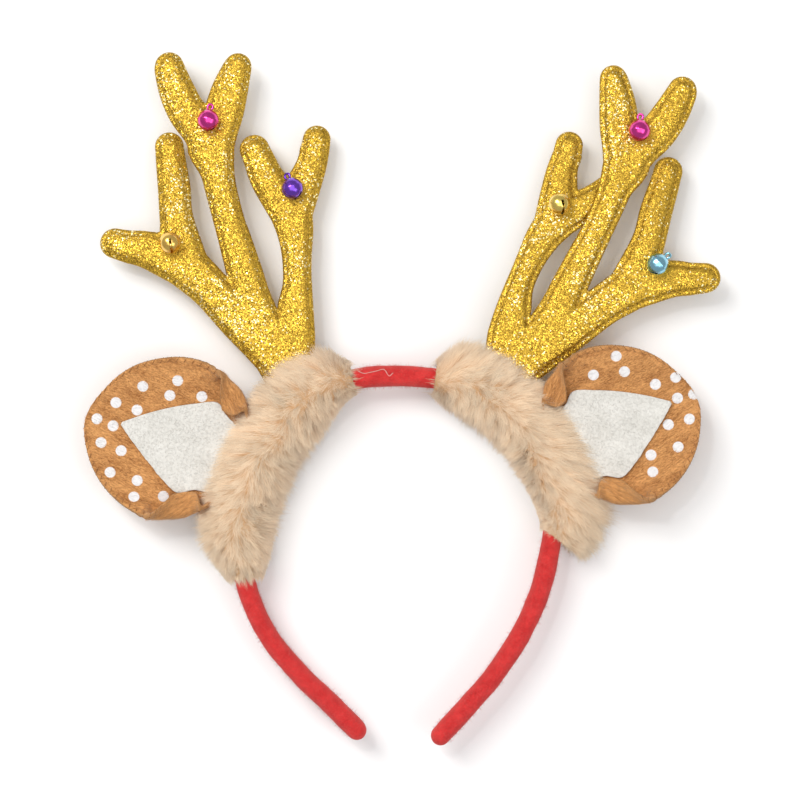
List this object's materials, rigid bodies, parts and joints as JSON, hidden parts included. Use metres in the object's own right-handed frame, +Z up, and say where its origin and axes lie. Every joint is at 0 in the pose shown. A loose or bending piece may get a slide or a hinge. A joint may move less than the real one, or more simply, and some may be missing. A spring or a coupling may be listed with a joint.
{
  "type": "costume headband",
  "caption": "Felt-covered hoop headband with fur cuffs, padded glitter antlers, plush ears and small jingle bells.",
  "frame": {"origin": "middle of the bounding box in plan, on the plane that the fur cuffs lie on", "axes": "+Y from the hoop's tips towards the antlers' tips, +X across the hoop, +Z up from the surface the headband lies on, towards its front"},
  "size_m": [0.286, 0.3116, 0.0364],
  "materials": {
    "red_felt": "brushed felt, matte",
    "tan_fur": "long-pile fur",
    "gold_glitter": "glitter-coated cloth",
    "brown_plush": "short plush with a printed dot pattern",
    "white_felt": "felt, matte",
    "magenta_bell": "bright metallic lacquer",
    "purple_bell": "bright metallic lacquer",
    "orange_bell": "bright metallic lacquer",
    "gold_bell": "bright metallic lacquer",
    "sky_bell": "bright metallic lacquer"
  },
  "bodies": {
    "root": {"headband": "red_felt", "fur_cuff_left": "tan_fur", "fur_cuff_right": "tan_fur", "antler_left": "gold_glitter", "antler_right": "gold_glitter", "ear_left": "brown_plush", "ear_right": "brown_plush", "ear_felt_left": "white_felt", "ear_felt_right": "white_felt", "bell_magenta_left": "magenta_bell", "bell_purple": "purple_bell", "bell_orange": "orange_bell", "bell_magenta_right": "magenta_bell", "bell_gold": "gold_bell", "bell_sky": "sky_bell"}
  },
  "joints": []
}
